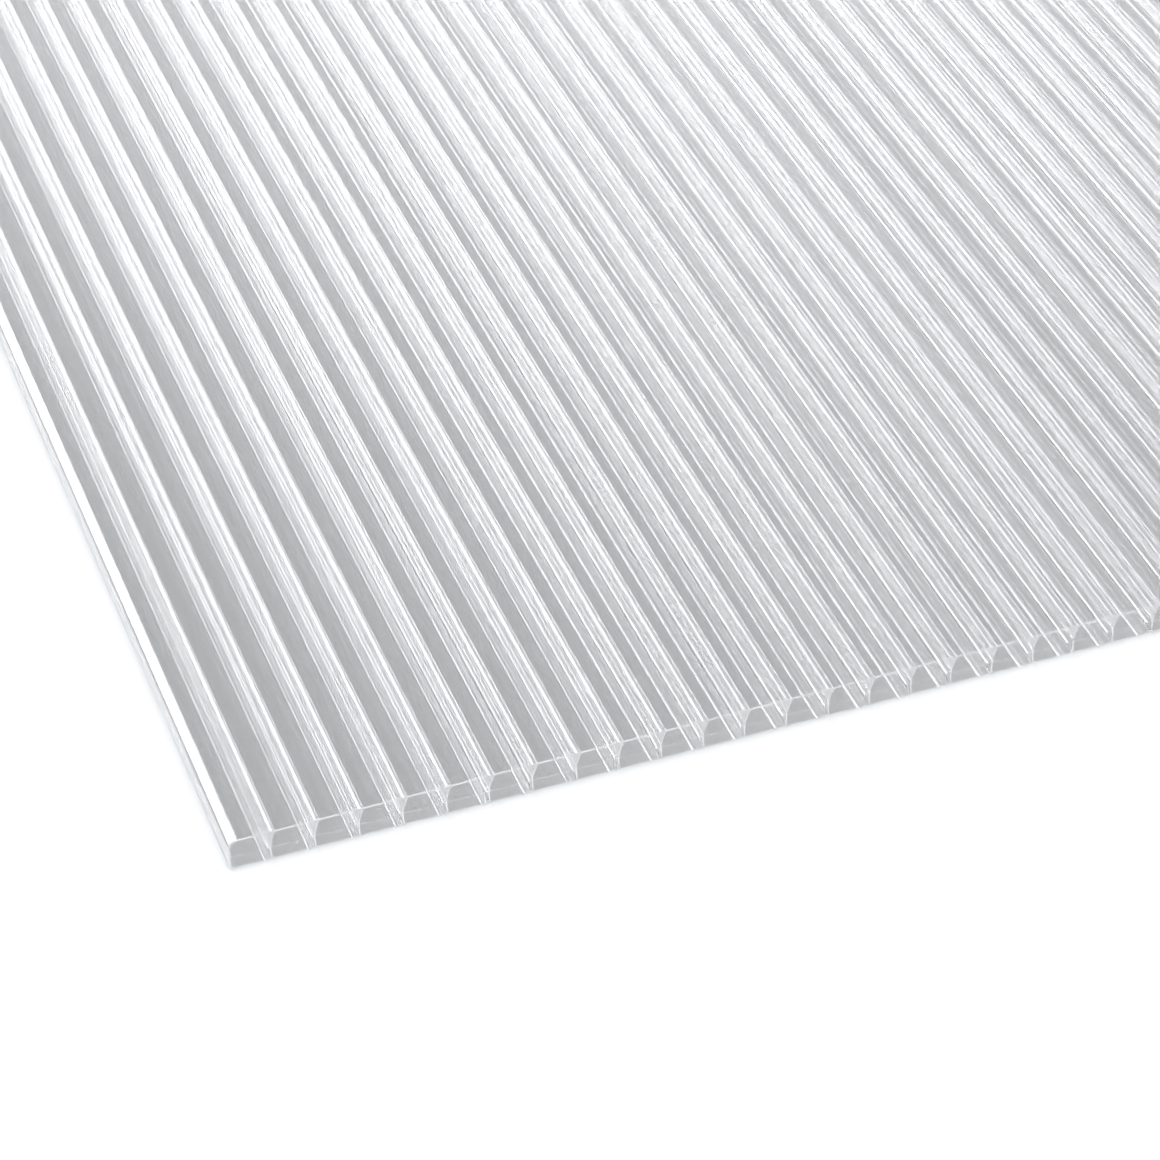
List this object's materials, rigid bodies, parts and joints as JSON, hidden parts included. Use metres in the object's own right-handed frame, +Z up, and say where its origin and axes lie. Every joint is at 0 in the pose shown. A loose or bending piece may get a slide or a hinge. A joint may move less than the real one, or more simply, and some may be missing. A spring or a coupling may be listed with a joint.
{
  "type": "multiwall polycarbonate sheet",
  "caption": "Clear extruded glazing sheet: flat skins and a thin inner membrane joined by parallel ribs, with hollow channels open at both cut ends.",
  "frame": {"origin": "middle of the underside", "axes": "+Y along the ribs, +X across them, +Z up out of the face with the rounded edge corners"},
  "size_m": [0.98, 2, 0.016],
  "materials": {
    "clear_polycarbonate": "gloss"
  },
  "bodies": {
    "root": {"multiwall_sheet": "clear_polycarbonate"}
  },
  "joints": []
}
